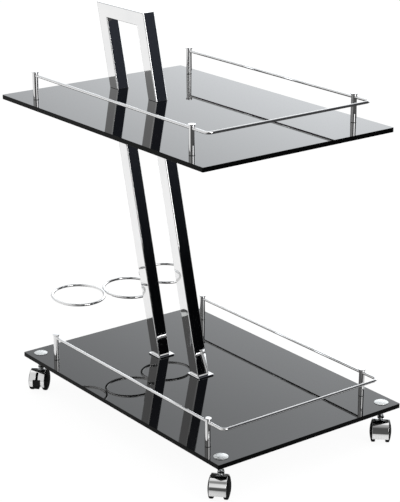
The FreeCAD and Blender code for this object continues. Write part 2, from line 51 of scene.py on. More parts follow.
corners = ("front_left", "front_right", "rear_left", "rear_right")
mm = 0.001
print("frame loaded:", len(frame["nodes"]), "nodes")


# camera, matched to the photograph by its corners and verticals
cameraView = {
    "place": (2.190713, -1.661003, 1.252218),
    "target": (-0.004959, -0.006844, 0.308161),
    "roll": -0.110671,
    "focalPixels": 1646.254,
    "longSidePixels": 502,
    "sensor": 36.0,
    "clip": (0.05, 60.0),
}


def addCamera(view):
    data = bpy.data.cameras.new("photoCamera")
    data.sensor_width = view["sensor"]
    data.lens = view["focalPixels"] * view["sensor"] / view["longSidePixels"]
    data.clip_start, data.clip_end = view["clip"]
    camera = bpy.data.objects.new("photoCamera", data)
    scene.collection.objects.link(camera)
    forward = (Vector(view["target"]) - Vector(view["place"])).normalized()
    level = forward.cross(Vector((0, 0, 1))).normalized()
    rise = level.cross(forward)
    roll = math.radians(view["roll"])
    right = level * math.cos(roll) + rise * math.sin(roll)
    axes = Matrix((right, right.cross(forward), -forward)).transposed()
    camera.matrix_world = Matrix.Translation(view["place"]) @ axes.to_4x4()
    scene.camera = camera


addCamera(cameraView)
print("camera placed")


# small helpers for node trees
def addNode(tree, kind, **settings):
    node = tree.nodes.new(kind)
    for key, value in settings.items():
        setattr(node, key, value)
    return node


def plugIn(tree, socket, value):
    if isinstance(value, bpy.types.NodeSocket):
        tree.links.new(value, socket)
    else:
        socket.default_value = value


def mapRange(tree, value, low, high, toLow, toHigh, smooth=True):
    node = addNode(tree, "ShaderNodeMapRange")
    node.interpolation_type = "SMOOTHSTEP" if smooth else "LINEAR"
    node.inputs["From Min"].default_value = low
    node.inputs["From Max"].default_value = high
    node.inputs["To Min"].default_value = toLow
    node.inputs["To Max"].default_value = toHigh
    tree.links.new(value, node.inputs["Value"])
    return node.outputs["Result"]


def rising(tree, value, edge):
    return mapRange(tree, value, *edge, 0, 1)


def falling(tree, value, edge):
    return mapRange(tree, value, *edge, 1, 0)


def maths(tree, operation, first, second):
    node = addNode(tree, "ShaderNodeMath", operation=operation)
    plugIn(tree, node.inputs[0], first)
    plugIn(tree, node.inputs[1], second)
    return node.outputs[0]


def product(tree, first, second):
    return maths(tree, "MULTIPLY", first, second)


def band(tree, value, edges):
    return product(tree, rising(tree, value, edges[:2]), falling(tree, value, edges[2:]))


def blendValue(tree, share, first, second):
    node = addNode(tree, "ShaderNodeMix", data_type="FLOAT")
    plugIn(tree, node.inputs["Factor"], share)
    plugIn(tree, node.inputs["A"], first)
    plugIn(tree, node.inputs["B"], second)
    return node.outputs["Result"]


def blendColour(tree, share, first, second, blend="MIX"):
    node = addNode(tree, "ShaderNodeMix", data_type="RGBA", blend_type=blend)
    plugIn(tree, node.inputs["Factor"], share)
    plugIn(tree, node.inputs[6], first)
    plugIn(tree, node.inputs[7], second)
    return node.outputs[2]


def tinted(tree, value, tint):
    return blendColour(tree, 1.0, value, tint, "MULTIPLY")


def grey(level):
    return (level, level, level, 1)


def alongWay(tree, vector, way):
    node = addNode(tree, "ShaderNodeVectorMath", operation="DOT_PRODUCT")
    tree.links.new(vector, node.inputs[0])
    node.inputs[1].default_value = way
    return node.outputs["Value"]


def alongSide(tree, vector, azimuth):
    turn = math.radians(azimuth)
    return alongWay(tree, vector, (math.cos(turn), math.sin(turn), 0))


# white studio with a dark flag low on the camera's side, as the chrome shows it
studio = {
    "ambient": 0.85,
    "backAzimuth": 143.0,
    "backEdge": (0.2, 0.6),
    "backGlow": (0.2, 0.42, 2.05, 1.24),
    "backSlope": (-0.13, 0.08, 0.66, 1.24),
    "backTint": (0.97, 0.997, 1.025, 1),
    "leftAzimuth": -143.0,
    "leftEdge": (0.45, 0.7),
    "leftBand": (0.12, 0.26, 0.42, 0.50),
    "leftLevel": 0.48,
    "farSide": (70.0, 84.0, 128.0, 142.0),
    "farBand": (0.50, 0.60, 0.85, 0.95),
    "farLevel": 0.55,
    "rightSide": (-135.0, -120.0, -61.0, -50.0),
    "rightLevel": 0.71,
    "lowSide": (-176.0, -165.0, -110.0, -96.0),
    "lowBand": (-0.03, -0.01, 0.035, 0.06),
    "lowLevel": 0.14,
    "ceiling": (0.349, -0.314, 0.883),
    "ceilingEdge": (0.945, 0.980),
    "ceilingLevel": 0.26,
    "fadeSide": (-51.0, -44.0, -36.0, -28.0),
    "fadeRise": (0.70, 0.985, 0.085, 0.48),
    "fadeTop": (0.985, 1.0),
    "flagAzimuth": -5.0,
    "flagEdge": (0.34, 0.47),
    "flagStart": (-62.0, -57.0),
    "flagTop": (0.34, 0.43),
    "flagRise": (0.04, 0.24, 0.0015, 0.034),
    "flagTint": (0.86, 0.95, 1.22, 1),
    "paleFlag": (-42.0, -30.0),
    "paleTop": (0.22, 0.42),
    "paleLevel": 0.09,
    "sideFlag": (0.641, 0.641, 0.423),
    "sideFlagEdge": (0.75, 0.95),
}


def addWorld(look):
    world = bpy.data.worlds.new("whiteStudio")
    scene.world = world
    world.use_nodes = True
    tree = world.node_tree
    tree.nodes.clear()
    coords = addNode(tree, "ShaderNodeTexCoord").outputs["Generated"]
    parts = addNode(tree, "ShaderNodeSeparateXYZ")
    tree.links.new(coords, parts.inputs[0])
    height = parts.outputs["Z"]
    turn = maths(tree, "ARCTAN2", parts.outputs["Y"], parts.outputs["X"])
    turn = product(tree, turn, 180 / math.pi)
    # brighter sweep behind, which the two shelves mirror
    back = rising(tree, alongSide(tree, coords, look["backAzimuth"]), look["backEdge"])
    slope = mapRange(tree, alongSide(tree, coords, look["backAzimuth"] - 90), *look["backSlope"], False)
    glow = product(tree, mapRange(tree, height, *look["backGlow"], False), slope)
    seen = blendColour(tree, back, grey(1), tinted(tree, glow, look["backTint"]))
    # grey walls, a dim strip at the horizon that the posts mirror, a ceiling panel that the hoods mirror
    left = rising(tree, alongSide(tree, coords, look["leftAzimuth"]), look["leftEdge"])
    left = product(tree, left, band(tree, height, look["leftBand"]))
    far = product(tree, band(tree, turn, look["farSide"]), band(tree, height, look["farBand"]))
    right = band(tree, turn, look["rightSide"])
    low = product(tree, band(tree, turn, look["lowSide"]), band(tree, height, look["lowBand"]))
    ceiling = rising(tree, alongWay(tree, coords, look["ceiling"]), look["ceilingEdge"])
    for mask, level in ((left, "leftLevel"), (far, "farLevel"), (right, "rightLevel"),
                        (low, "lowLevel"), (ceiling, "ceilingLevel")):
        seen = blendColour(tree, mask, seen, grey(look[level]))
    # the flag fading upward on the camera's side
    fade = product(tree, band(tree, turn, look["fadeSide"]), falling(tree, height, look["fadeTop"]))
    seen = blendColour(tree, fade, seen, mapRange(tree, height, *look["fadeRise"], False))
    # the dark flags
    side = rising(tree, alongSide(tree, coords, look["flagAzimuth"]), look["flagEdge"])
    side = product(tree, side, rising(tree, turn, look["flagStart"]))
    pale = falling(tree, turn, look["paleFlag"])
    top = blendValue(tree, pale, falling(tree, height, look["flagTop"]),
                     falling(tree, height, look["paleTop"]))
    sideFlag = rising(tree, alongWay(tree, coords, look["sideFlag"]), look["sideFlagEdge"])
    darkInMirrors = maths(tree, "MAXIMUM", product(tree, side, top), sideFlag)
    flagLevel = tinted(tree, mapRange(tree, height, *look["flagRise"]), look["flagTint"])
    flagLevel = blendColour(tree, pale, flagLevel, grey(look["paleLevel"]))
    seen = blendColour(tree, darkInMirrors, seen, flagLevel)
    # mirrors see the studio, the camera sees plain white, and the rest is even light
    rays = addNode(tree, "ShaderNodeLightPath")
    level = blendColour(tree, rays.outputs["Is Glossy Ray"], grey(look["ambient"]), seen)
    level = blendColour(tree, rays.outputs["Is Camera Ray"], level, grey(1))
    background = addNode(tree, "ShaderNodeBackground")
    tree.links.new(level, background.inputs["Color"])
    output = addNode(tree, "ShaderNodeOutputWorld")
    tree.links.new(background.outputs[0], output.inputs[0])


# pale floor that keeps the shadow; what mirrors see of it is painted: a glow that rises toward the back,
# the trolley's shade behind it, and a dark stretch on the camera's side
floorLook = {
    "size": 12.0,
    "matt": 0.8,
    "seenMatt": 0.1,
    "seenLift": 0.94,
    # past the camera-ray values: a painted glow and painted dark patches that only mirror rays see
    "mirrorAzimuth": 125.0,
    "paintedReflectionLift": (-0.35, -0.03, 0.11, 0.28),
    "flagAzimuth": -5.0,
    "flagEdge": (0.29, 0.48),
    "backAzimuth": 110.0,
    "backEdge": (0.22, 0.34),
    "dark": 0.08,
}


def addFloor(look):
    bm = bmesh.new()
    bmesh.ops.create_grid(bm, x_segments=1, y_segments=1, size=look["size"] / 2)
    mesh = bpy.data.meshes.new("studioFloor")
    bm.to_mesh(mesh)
    bm.free()
    floor = bpy.data.objects.new("studioFloor", mesh)
    scene.collection.objects.link(floor)
    paint = bpy.data.materials.new("paleFloor")
    paint.use_nodes = True
    tree = paint.node_tree
    tree.nodes.clear()
    coords = addNode(tree, "ShaderNodeTexCoord").outputs["Object"]
    rays = addNode(tree, "ShaderNodeLightPath")
    camera, glossy = rays.outputs["Is Camera Ray"], rays.outputs["Is Glossy Ray"]
    matt = addNode(tree, "ShaderNodeBsdfDiffuse")
    tree.links.new(blendValue(tree, camera, look["matt"], look["seenMatt"]), matt.inputs["Color"])
    # painted reflection: a glow that only mirror rays see, rising toward the back
    paintedReflectionGlow = mapRange(tree, alongSide(tree, coords, look["mirrorAzimuth"]), *look["paintedReflectionLift"])
    lift = maths(tree, "ADD", product(tree, camera, look["seenLift"]), product(tree, glossy, paintedReflectionGlow))
    glow = addNode(tree, "ShaderNodeEmission")
    tree.links.new(lift, glow.inputs["Strength"])
    lit = addNode(tree, "ShaderNodeAddShader")
    tree.links.new(matt.outputs[0], lit.inputs[0])
    tree.links.new(glow.outputs[0], lit.inputs[1])
    # painted shade seen only in mirrors: the trolley's shade behind it and a dark stretch on the camera's
    # side
    front = rising(tree, alongSide(tree, coords, look["flagAzimuth"]), look["flagEdge"])
    back = rising(tree, alongSide(tree, coords, look["backAzimuth"]), look["backEdge"])
    darkInMirrors = product(tree, maths(tree, "MAXIMUM", front, back), glossy)
    dark = addNode(tree, "ShaderNodeEmission")
    dark.inputs["Strength"].default_value = look["dark"]
    mixed = addNode(tree, "ShaderNodeMixShader")
    tree.links.new(darkInMirrors, mixed.inputs[0])
    tree.links.new(lit.outputs[0], mixed.inputs[1])
    tree.links.new(dark.outputs[0], mixed.inputs[2])
    output = addNode(tree, "ShaderNodeOutputMaterial")
    tree.links.new(mixed.outputs[0], output.inputs[0])
    mesh.materials.append(paint)


# one broad soft box, its level as seen in a mirror
softBox = {"place": (2.1, 0.1, 0.95), "aim": (0.0, 0.0, 0.45), "size": (1.0, 0.8), "level": 4.5}


def addSoftBox(look):
    data = bpy.data.lights.new("broadSoftBox", "AREA")
    data.shape = "RECTANGLE"
    wide, tall = look["size"]
    data.size, data.size_y = wide, tall
    data.energy = look["level"] * math.pi * wide * tall
    lamp = bpy.data.objects.new("broadSoftBox", data)
    scene.collection.objects.link(lamp)
    lamp.location = look["place"]
    aim = Vector(look["aim"]) - Vector(look["place"])
    lamp.rotation_euler = aim.to_track_quat("-Z", "Y").to_euler()
    lamp.visible_camera = False


scene.view_settings.view_transform = "Standard"
addWorld(studio)
addFloor(floorLook)
addSoftBox(softBox)
print("studio set up")


# shared surface effects
def newGroup(name, scale, outputs):
    group = bpy.data.node_groups.new(name, "ShaderNodeTree")
    group.interface.new_socket("Vector", in_out="INPUT", socket_type="NodeSocketVector")
    socket = group.interface.new_socket("Scale", in_out="INPUT", socket_type="NodeSocketFloat")
    socket.default_value = scale
    for label in outputs:
        group.interface.new_socket(label, in_out="OUTPUT", socket_type="NodeSocketFloat")
    return group, group.nodes.new("NodeGroupInput"), group.nodes.new("NodeGroupOutput")


def noise(tree, vector, scale, detail, rough=0.5):
    node = addNode(tree, "ShaderNodeTexNoise")
    tree.links.new(vector, node.inputs["Vector"])
    plugIn(tree, node.inputs["Scale"], scale)
    node.inputs["Detail"].default_value = detail
    node.inputs["Roughness"].default_value = rough
    return node.outputs["Fac"]


hazeLook = {"scale": 12.0, "detail": 5.0, "rough": 0.6, "edge": (0.42, 0.72),
            "speckScale": 40.0, "speckDetail": 1.0, "speckEdge": (0.68, 0.76)}


def buildHazeGroup(look):
    group, source, result = newGroup("handledHaze", look["scale"], ("Haze", "Specks"))
    vector, scale = source.outputs["Vector"], source.outputs["Scale"]
    cloud = noise(group, vector, scale, look["detail"], look["rough"])
    dots = noise(group, vector, product(group, scale, look["speckScale"]), look["speckDetail"])
    group.links.new(rising(group, cloud, look["edge"]), result.inputs["Haze"])
    group.links.new(rising(group, dots, look["speckEdge"]), result.inputs["Specks"])
    return group


grainLook = {"scale": 1500.0, "shadeScale": 0.02, "shadeDetail": 4.0}


def buildGrainGroup(look):
    group, source, result = newGroup("mouldGrain", look["scale"], ("Height", "Shade"))
    vector, scale = source.outputs["Vector"], source.outputs["Scale"]
    cells = addNode(group, "ShaderNodeTexVoronoi", feature="SMOOTH_F1")
    group.links.new(vector, cells.inputs["Vector"])
    group.links.new(scale, cells.inputs["Scale"])
    shade = noise(group, vector, product(group, scale, look["shadeScale"]), look["shadeDetail"])
    group.links.new(cells.outputs["Distance"], result.inputs["Height"])
    group.links.new(shade, result.inputs["Shade"])
    return group


hazeGroup = buildHazeGroup(hazeLook)
grainGroup = buildGrainGroup(grainLook)


# steps that the finishes share
def newFinish(name):
    finish = bpy.data.materials.new(name)
    finish.use_nodes = True
    tree = finish.node_tree
    tree.nodes.clear()
    shader = addNode(tree, "ShaderNodeBsdfPrincipled")
    output = addNode(tree, "ShaderNodeOutputMaterial")
    tree.links.new(shader.outputs[0], output.inputs[0])
    return finish, tree, shader


def placeGroup(tree, group, scale):
    node = addNode(tree, "ShaderNodeGroup", node_tree=group)
    node.inputs["Scale"].default_value = scale
    coords = addNode(tree, "ShaderNodeTexCoord").outputs["Object"]
    tree.links.new(coords, node.inputs["Vector"])
    return node


def coat(tree, shader, look, colourMask, roughMask, span=(0, 1)):
    tree.links.new(blendColour(tree, colourMask, *look["colours"]), shader.inputs["Base Color"])
    rough = mapRange(tree, roughMask, *span, *look["roughness"], False)
    tree.links.new(rough, shader.inputs["Roughness"])


def addBump(tree, shader, height, strength, distance):
    bump = addNode(tree, "ShaderNodeBump")
    bump.inputs["Strength"].default_value = strength
    bump.inputs["Distance"].default_value = distance
    tree.links.new(height, bump.inputs["Height"])
    tree.links.new(bump.outputs[0], shader.inputs["Normal"])


def newMetal(name, look):
    finish, tree, shader = newFinish(name)
    wear = placeGroup(tree, hazeGroup, look["hazeScale"])
    coat(tree, shader, look, wear.outputs["Haze"], wear.outputs["Haze"])
    shader.inputs["Metallic"].default_value = 1.0
    return finish, tree, shader, wear


chromeLook = {"colours": ((0.885, 0.885, 0.885, 1), (0.85, 0.852, 0.856, 1)),
              "roughness": (0.03, 0.06), "hazeScale": 14.0}


def makeChrome(look):
    return newMetal("chromePlate", look)[0]


# colours darkened below bare zinc as painted shade, because the stems sit in the shade under the black
# glass; every zinc_steel part takes this darker colour
zincLook = {"colours": ((0.42, 0.43, 0.44, 1), (0.30, 0.31, 0.30, 1)),
            "roughness": (0.14, 0.3), "hazeScale": 120.0, "bump": (0.1, 0.00005)}


def makeZinc(look):
    finish, tree, shader, wear = newMetal("zincSteel", look)
    addBump(tree, shader, wear.outputs["Specks"], *look["bump"])
    return finish


discLook = {"colours": ((0.71, 0.725, 0.72, 1), (0.63, 0.645, 0.64, 1)), "roughness": (0.36, 0.48),
            "hazeScale": 90.0, "centre": (0.2765, 0.177, 0.0), "ringScale": 900.0, "ringWaver": 0.6,
            "bump": (0.55, 0.00004)}


def makeSpunAluminium(look):
    finish, tree, shader = newMetal("spunAluminium", look)[:3]
    # one set of turning rings, folded onto all four discs
    coords = addNode(tree, "ShaderNodeTexCoord").outputs["Object"]
    fold = addNode(tree, "ShaderNodeVectorMath", operation="ABSOLUTE")
    tree.links.new(coords, fold.inputs[0])
    centred = addNode(tree, "ShaderNodeVectorMath", operation="SUBTRACT")
    tree.links.new(fold.outputs[0], centred.inputs[0])
    centred.inputs[1].default_value = look["centre"]
    rings = addNode(tree, "ShaderNodeTexWave", wave_type="RINGS", rings_direction="Z")
    tree.links.new(centred.outputs[0], rings.inputs["Vector"])
    rings.inputs["Scale"].default_value = look["ringScale"]
    rings.inputs["Distortion"].default_value = look["ringWaver"]
    addBump(tree, shader, rings.outputs["Fac"], *look["bump"])
    return finish


glassLook = {"colours": ((0.0008, 0.0009, 0.001, 1), (0.004, 0.004, 0.0045, 1)),
             "roughness": (0.012, 0.04), "hazeScale": 6.0, "ior": 1.52, "specular": 0.5}
edgeLook = {"colours": ((0.0012, 0.0013, 0.0014, 1), (0.006, 0.006, 0.0065, 1)),
            "roughness": (0.24, 0.36), "hazeScale": 60.0, "ior": 1.52, "specular": 0.05}


def makeBlackGlass(name, look):
    finish, tree, shader = newFinish(name)
    wear = placeGroup(tree, hazeGroup, look["hazeScale"])
    coat(tree, shader, look, wear.outputs["Specks"], wear.outputs["Haze"])
    shader.inputs["IOR"].default_value = look["ior"]
    shader.inputs["Specular IOR Level"].default_value = look["specular"]
    return finish


mouldedLooks = {
    "castor_plastic": {"name": "castorPlastic", "roughness": (0.4, 0.52),
                       "colours": ((0.006, 0.006, 0.007, 1), (0.014, 0.014, 0.015, 1)),
                       "grainScale": 1800.0, "bump": (0.2, 0.00005), "ior": 1.5, "specular": 0.12},
    "wheel_plastic": {"name": "wheelPlastic", "roughness": (0.62, 0.76),
                      "colours": ((0.002, 0.002, 0.0025, 1), (0.006, 0.006, 0.006, 1)),
                      "grainScale": 2200.0, "bump": (0.08, 0.00003), "ior": 1.5, "specular": 0.07},
    "rubber": {"name": "rubber", "roughness": (0.62, 0.8),
               "colours": ((0.012, 0.012, 0.012, 1), (0.03, 0.03, 0.03, 1)),
               "grainScale": 2600.0, "bump": (0.3, 0.00006), "ior": 1.45, "specular": 0.3},
}
shadeSpan = (0.3, 0.7)


def makeMoulded(look):
    finish, tree, shader = newFinish(look["name"])
    grain = placeGroup(tree, grainGroup, look["grainScale"])
    coat(tree, shader, look, grain.outputs["Shade"], grain.outputs["Shade"], shadeSpan)
    shader.inputs["IOR"].default_value = look["ior"]
    shader.inputs["Specular IOR Level"].default_value = look["specular"]
    addBump(tree, shader, grain.outputs["Height"], *look["bump"])
    return finish


finishes = {
    "chrome": makeChrome(chromeLook),
    "black_glass": makeBlackGlass("blackGlass", glassLook),
    "ground_edge": makeBlackGlass("groundEdge", edgeLook),
    "aluminium": makeSpunAluminium(discLook),
    "zinc_steel": makeZinc(zincLook),
}
for slotName, look in mouldedLooks.items():
    finishes[slotName] = makeMoulded(look)
print("finishes made:", ", ".join(sorted(finishes)))


# every carried-over node takes the finish of its own slot
def dressNodes():
    for node in frame["nodes"].values():
        slotName = node.material_slots[0].material.name.split(".")[0]
        node.material_slots[0].material = finishes[slotName]


dressNodes()
print("nodes dressed")


# shared steps for the turned, curved and plain shapes
mergeGap = 0.001


def closeUp(bm):
    bmesh.ops.remove_doubles(bm, verts=bm.verts, dist=mergeGap * mm)
    bmesh.ops.recalc_face_normals(bm, faces=bm.faces)


def roundEdges(bm, width, segments=2, sharper=30.0):
    limit = math.radians(sharper)
    edges = [edge for edge in bm.edges if edge.is_manifold and edge.calc_face_angle() > limit]
    bmesh.ops.bevel(bm, geom=edges, offset=width * mm, segments=segments, profile=0.5,
                    affect="EDGES", material=-1, clamp_overlap=True)


def turned(profile, steps):
    bm = bmesh.new()
    verts = [bm.verts.new((radius * mm, 0, height * mm)) for radius, height in profile]
    edges = [bm.edges.new(pair) for pair in zip(verts, verts[1:])]
    bmesh.ops.spin(bm, geom=verts + edges, cent=(0, 0, 0), axis=(0, 0, 1),
                   angle=math.tau, steps=steps, use_merge=True)
    closeUp(bm)
    return bm


# sweeps what the bmesh holds at angle 0 up from low to high about the castor's axle
def sweep(bm, low, high, steps):
    start = Matrix.Rotation(math.radians(low), 3, (0, -1, 0))
    bmesh.ops.rotate(bm, cent=(0, 0, 0), matrix=start, verts=bm.verts)
    bmesh.ops.spin(bm, geom=bm.verts[:] + bm.edges[:] + bm.faces[:], cent=(0, 0, 0), axis=(0, -1, 0),
                   angle=math.radians(high - low), steps=steps)


def curvedBlock(inner, outer, width, low, high, steps):
    bm = bmesh.new()
    half = width / 2
    section = ((inner, -half), (outer, -half), (outer, half), (inner, half))
    bm.faces.new([bm.verts.new((radius * mm, side * mm, 0)) for radius, side in section])
    sweep(bm, low, high, steps)
    bmesh.ops.holes_fill(bm, edges=[edge for edge in bm.edges if edge.is_boundary])
    closeUp(bm)
    return bm


def block(low, high):
    bm = bmesh.new()
    low, high = Vector(low) * mm, Vector(high) * mm
    bmesh.ops.create_cube(bm, size=1.0)
    bmesh.ops.scale(bm, vec=high - low, verts=bm.verts)
    bmesh.ops.translate(bm, vec=(low + high) / 2, verts=bm.verts)
    return bm


def thicken(bm):
    grown = bmesh.ops.extrude_face_region(bm, geom=bm.faces[:], use_keep_orig=True)["geom"]
    return [item for item in grown if isinstance(item, bmesh.types.BMVert)]


def addTo(bm, shape, place=Matrix.Identity(4)):
    bmesh.ops.transform(shape, matrix=place, verts=shape.verts)
    mesh = bpy.data.meshes.new("joined")
    shape.to_mesh(mesh)
    shape.free()
    bm.from_mesh(mesh)
    bpy.data.meshes.remove(mesh)


sharpAngle = 34.0


def finishPiece(name, bm, body, slotName, replaced=()):
    mesh = bpy.data.meshes.new(name)
    bm.to_mesh(mesh)
    bm.free()
    mesh.shade_smooth()
    mesh.set_sharp_from_angle(angle=math.radians(sharpAngle))
    mesh.materials.append(finishes[slotName])
    piece = bpy.data.objects.new(name, mesh)
    scene.collection.objects.link(piece)
    # large faces keep their own shading beside small rounded edges
    weights = piece.modifiers.new("faceWeights", "WEIGHTED_NORMAL")
    weights.keep_sharp = True
    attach(piece, body)
    if replaced:
        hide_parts(*replaced)
    return piece


def pieceName(node):
    first, *rest = node.split("_")
    return first + "".join(word.capitalize() for word in rest)


# glass shelves: polished faces, ground edge with a softened arris
shelfLook = {"cornerRound": 2.0, "arris": 0.4, "arrisAngle": 60.0, "steps": 3, "levelFace": 0.999}


def makeShelf(node, look):
    low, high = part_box(node)
    bm = block(low / mm, high / mm)
    standing = [edge for edge in bm.edges if abs(edge.verts[0].co.z - edge.verts[1].co.z) > mm]
    bmesh.ops.bevel(bm, geom=standing, offset=look["cornerRound"] * mm, segments=look["steps"],
                    profile=0.5, affect="EDGES", material=-1)
    roundEdges(bm, look["arris"], look["steps"], look["arrisAngle"])
    for face in bm.faces:
        face.material_index = 0 if abs(face.normal.z) > look["levelFace"] else 1
    piece = finishPiece(pieceName(node), bm, "trolley_frame", "black_glass", [node])
    piece.data.materials.append(finishes["ground_edge"])


for level in ("lower", "upper"):
    makeShelf(level + "_glass_shelf", shelfLook)
print("glass shelves made")


# rail posts: tapered, with a neck groove under a crowned cap
postLook = {"foot": 5.25, "neck": 4.85, "groove": 0.35, "grooveHeight": 0.7, "cap": 6.2,
            "capHeight": 2.2, "crown": 0.35, "shoulder": (0.6, 0.3), "rounding": 0.3, "steps": 40}


def makePost(node, look):
    low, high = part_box(node)
    tall = (high.z - low.z) / mm
    capLow = tall - look["capHeight"]
    grooveLow = capLow - look["grooveHeight"]
    waist = look["neck"] - look["groove"]
    across, drop = look["shoulder"]
    bm = turned([
        (0, 0), (look["foot"], 0),
        (look["neck"], grooveLow), (waist, grooveLow),
        (waist, capLow), (look["cap"], capLow),
        (look["cap"], tall - look["crown"]), (look["cap"] * across, tall - look["crown"] * drop), (0, tall),
    ], look["steps"])
    roundEdges(bm, look["rounding"])
    middle = (low + high) / 2
    bmesh.ops.translate(bm, vec=(middle.x, middle.y, low.z), verts=bm.verts)
    finishPiece(pieceName(node), bm, "trolley_frame", "chrome", [node])


for level in ("lower", "upper"):
    for corner in corners:
        makePost("_".join((level, corner, "post")), postLook)
print("rail posts made")


# fixing discs: domed caps with a turned rim line and a centre mark
discShape = {"radius": 12.4, "rim": 0.5, "dome": 1.3, "lift": 0.3, "line": (10.9, 11.3),
             "lineDepth": 0.12, "domeSteps": (0.8, 0.6, 0.4, 0.2), "mark": 0.9, "markDepth": 0.24,
             "rounding": 0.15, "roundAngle": 40.0, "steps": 64}


def domeHeight(look, radius):
    curve = (look["radius"] ** 2 + look["dome"] ** 2) / (2 * look["dome"])
    return look["lift"] + look["rim"] + look["dome"] - curve + math.sqrt(curve ** 2 - radius ** 2)


def makeDiscs(look):
    def onDome(radius, depth=0.0):
        return radius, domeHeight(look, radius) - depth

    inner, outer = look["line"]
    profile = [(0, look["lift"]), (look["radius"], look["lift"]),
               (look["radius"], look["lift"] + look["rim"]),
               onDome(outer), onDome(outer, look["lineDepth"]),
               onDome(inner, look["lineDepth"]), onDome(inner)]
    profile += [onDome(inner * share) for share in look["domeSteps"]]
    profile += [onDome(look["mark"]), onDome(0, look["markDepth"])]
    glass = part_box("lower_glass_shelf")[1].z
    bm = bmesh.new()
    for corner in corners:
        x, y = joints[corner + "_swivel"]["pos_m"][:2]
        disc = turned(profile, look["steps"])
        roundEdges(disc, look["rounding"], sharper=look["roundAngle"])
        addTo(bm, disc, Matrix.Translation((x, y, glass)))
    finishPiece("fixingDiscs", bm, "trolley_frame", "aluminium", ["fixing_discs"])


makeDiscs(discShape)
print("fixing discs made")


# frames on a castor's axle: turned shapes lie along it, swept ones stand across it
def axleAxes(joint, way):
    along = Vector(joint["axis"]) * way
    upright = Vector((0, 0, 1))
    return along, upright, along.cross(upright)


def placeAt(joint, axes):
    return Matrix.Translation(joint["pos_m"]) @ Matrix(axes).transposed().to_4x4()


def axlePlace(joint, way):
    along, upright, across = axleAxes(joint, way)
    return placeAt(joint, (upright, across, along))


def castorPlace(joint, way):
    along, upright, across = axleAxes(joint, way)
    return placeAt(joint, (across, along, upright))


# castor wheels: domed face with a hub cap and rim line, hollow and ribbed inside
wheelLook = {"radius": 20.0, "inner": 8.8, "outer": 19.0, "dome": 3.0, "round": 1.8,
             "capStep": 3.72, "hubCap": (6.2, 6.8), "faceSteps": (9.5, 12.5), "rimLine": (15.4, 16.0),
             "lineDepth": 0.4, "rim": 3.6, "web": 2.0, "hub": 5.6, "bore": 3.05, "boreDepth": 6.4,
             "ribs": 6, "ribWidth": 1.4, "ribSetIn": 2.0, "ribRoot": 1.0, "rounding": 0.22, "steps": 64}


def wheelProfile(look):
    radius, inner = look["radius"], look["inner"]
    reach = radius - look["round"]
    side = look["outer"] - look["dome"]
    arc = look["round"] * (1 - math.sqrt(0.5))

    def onFace(out):
        return out, look["outer"] - look["dome"] * (out / reach) ** 2

    def groove(first, second):
        depth = onFace(second)[1] - look["lineDepth"]
        return [onFace(first), (first, depth), (second, depth), onFace(second)]

    # outer face, tread, then the hollow inner side and the bore
    profile = [(0, look["outer"]), onFace(look["capStep"]), *groove(*look["hubCap"])]
    profile += [onFace(step) for step in look["faceSteps"]]
    profile += groove(*look["rimLine"])
    profile += [(reach, side), (radius - arc, side - arc), (radius, side - look["round"]),
                (radius, inner + look["round"]), (radius - arc, inner + arc), (reach, inner)]
    rim, web, floor = radius - look["rim"], side - look["web"], inner + look["boreDepth"]
    profile += [(rim, inner), (rim, web), (look["hub"], web), (look["hub"], inner),
                (look["bore"], inner), (look["bore"], floor), (0, floor)]
    return profile


def makeWheel(node, way, look):
    bm = turned(wheelProfile(look), look["steps"])
    roundEdges(bm, look["rounding"])
    half = look["ribWidth"] / 2
    web = look["outer"] - look["dome"] - look["web"] / 2
    for turn in range(look["ribs"]):
        rib = block((look["hub"] - look["ribRoot"], -half, look["inner"] + look["ribSetIn"]),
                    (look["radius"] - look["rim"] / 2, half, web))
        addTo(bm, rib, Matrix.Rotation(turn * math.tau / look["ribs"], 4, "Z"))
    bmesh.ops.transform(bm, matrix=axlePlace(joints[node + "_spin"], way), verts=bm.verts)
    finishPiece(pieceName(node), bm, node, "wheel_plastic", [node])


for corner in corners:
    makeWheel(corner + "_wheel_a", 1, wheelLook)
    makeWheel(corner + "_wheel_b", -1, wheelLook)
print("castor wheels made")


# castor hoods: curved sheets with rolled rims, slotted where a pedal's arm comes through
hoodLook = {"inner": 21.0, "outer": 22.2, "width": 28.5, "low": -20.0, "high": 163.0, "steps": 48,
            "slotWidth": 4.3, "slotLow": -1.4, "slotHigh": 56.4,
            "rounding": 0.45, "roundSteps": 3, "roundAngle": 45.0}


def inSlot(face, look):
    x, y, z = face.calc_center_median()
    turn = math.degrees(math.atan2(z, x))
    return abs(y) < look["slotWidth"] / 2 * mm and look["slotLow"] < turn < look["slotHigh"]


def makeHood(corner, look):
    node = corner + "_castor_hood"
    half, slot = look["width"] / 2, look["slotWidth"] / 2
    bm = bmesh.new()
    verts = [bm.verts.new((look["outer"] * mm, side * mm, 0)) for side in (-half, -slot, slot, half)]
    for pair in zip(verts, verts[1:]):
        bm.edges.new(pair)
    sweep(bm, look["low"], look["high"], look["steps"])
    if corner.startswith("rear"):
        bmesh.ops.delete(bm, geom=[face for face in bm.faces if inSlot(face, look)], context="FACES")
    share = look["inner"] / look["outer"]
    bmesh.ops.scale(bm, vec=(share, 1, share), verts=thicken(bm))
    bmesh.ops.recalc_face_normals(bm, faces=bm.faces)
    roundEdges(bm, look["rounding"], look["roundSteps"], look["roundAngle"])
    bmesh.ops.transform(bm, matrix=castorPlace(joints[corner + "_wheel_a_spin"], 1), verts=bm.verts)
    finishPiece(pieceName(node), bm, corner + "_castor", "chrome", [node])


for corner in corners:
    makeHood(corner, hoodLook)
print("castor hoods made")


